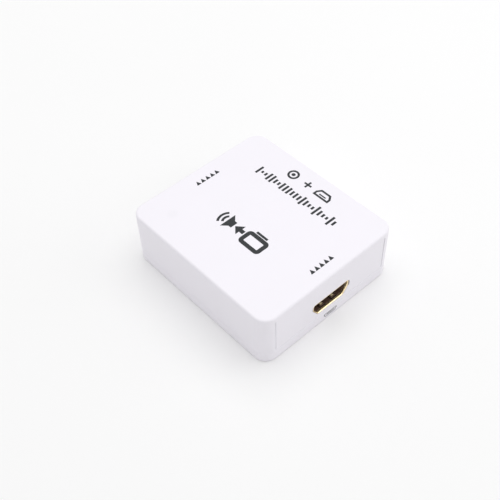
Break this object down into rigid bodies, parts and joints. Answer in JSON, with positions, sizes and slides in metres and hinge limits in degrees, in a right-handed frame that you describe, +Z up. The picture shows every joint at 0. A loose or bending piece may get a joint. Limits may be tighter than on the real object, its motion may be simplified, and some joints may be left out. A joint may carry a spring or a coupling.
{
  "type": "hdmi audio extractor",
  "caption": "Small flat white box with rounded upright corners that passes a digital video signal through and splits its sound off to an optical and an analogue output.",
  "frame": {"origin": "on the ground under the middle of the case", "axes": "+X towards the input end, along the case's length; +Y towards the long wall with the power inlet and the mode switch; +Z up through the roof"},
  "size_m": [0.062, 0.055, 0.02],
  "materials": {
    "case_plastic": "smooth satin white moulding",
    "black_plastic": "smooth black moulding",
    "grey_plastic": "smooth dark grey moulding",
    "gilded_metal": "gilded folded sheet",
    "gilded_contact": "gilded spring contact",
    "nickel_metal": "nickel-plated",
    "tinned_metal": "tin-plated",
    "plain_steel": "plain steel",
    "board_laminate": "green lacquered glass laminate",
    "brown_board": "pressed brown board",
    "red_resin": "dark red moulded resin",
    "clear_resin": "clear lamp resin",
    "chip_resin": "moulded chip body",
    "dark_ferrite": "pressed ferrite",
    "tan_ceramic": "fired layers",
    "bare_aluminium": "drawn can"
  },
  "bodies": {
    "case": {"top_cover": "case_plastic", "bottom_tray": "case_plastic", "input_end_plate": "case_plastic", "output_end_plate": "case_plastic", "board_screws": "plain_steel", "circuit_board": "board_laminate", "video_in_shell": "gilded_metal", "video_in_insulator": "black_plastic", "video_in_contacts": "gilded_contact", "video_out_shell": "gilded_metal", "video_out_insulator": "black_plastic", "video_out_contacts": "gilded_contact", "audio_jack_housing": "black_plastic", "audio_jack_bush": "nickel_metal", "audio_jack_springs": "tinned_metal", "optical_housing": "black_plastic", "optical_shutter_spring": "plain_steel", "optical_emitter": "red_resin", "optical_leads": "tinned_metal", "power_inlet_shell": "nickel_metal", "power_inlet_insulator": "black_plastic", "power_inlet_contacts": "gilded_contact", "mode_switch_frame": "nickel_metal", "mode_switch_base": "brown_board", "mode_switch_terminals": "tinned_metal", "status_lamp": "clear_resin", "status_lamp_leads": "tinned_metal", "main_chip": "chip_resin", "main_chip_leads": "tinned_metal", "audio_chip": "chip_resin", "audio_chip_leads": "tinned_metal", "memory_chips": "chip_resin", "memory_chip_leads": "tinned_metal", "regulator": "chip_resin", "regulator_leads": "tinned_metal", "power_coil": "dark_ferrite", "crystal_can": "nickel_metal", "crystal_leads": "tinned_metal", "capacitor_cans": "bare_aluminium", "capacitor_bases": "black_plastic", "surge_arrays": "chip_resin", "chip_resistors": "chip_resin", "chip_capacitors": "tan_ceramic", "chip_end_caps": "tinned_metal"},
    "shutter": {"optical_shutter": "grey_plastic"},
    "slider": {"mode_switch_slider": "black_plastic", "mode_switch_wiper": "gilded_contact"}
  },
  "joints": [
    {"name": "optical_shutter_hinge", "type": "hinge", "parent": "case", "child": "shutter", "pos_m": [-0.02873, 0.014, 0.0152], "axis": [0, -1, 0], "range_deg": [0, 88], "stiffness_Nm_per_rad": 0.0003, "springref_deg": -20.05, "deforming": ["optical_shutter_spring"]},
    {"name": "mode_switch_slide", "type": "slide", "parent": "case", "child": "slider", "axis": [1, 0, 0], "range_m": [0, 0.002]}
  ]
}
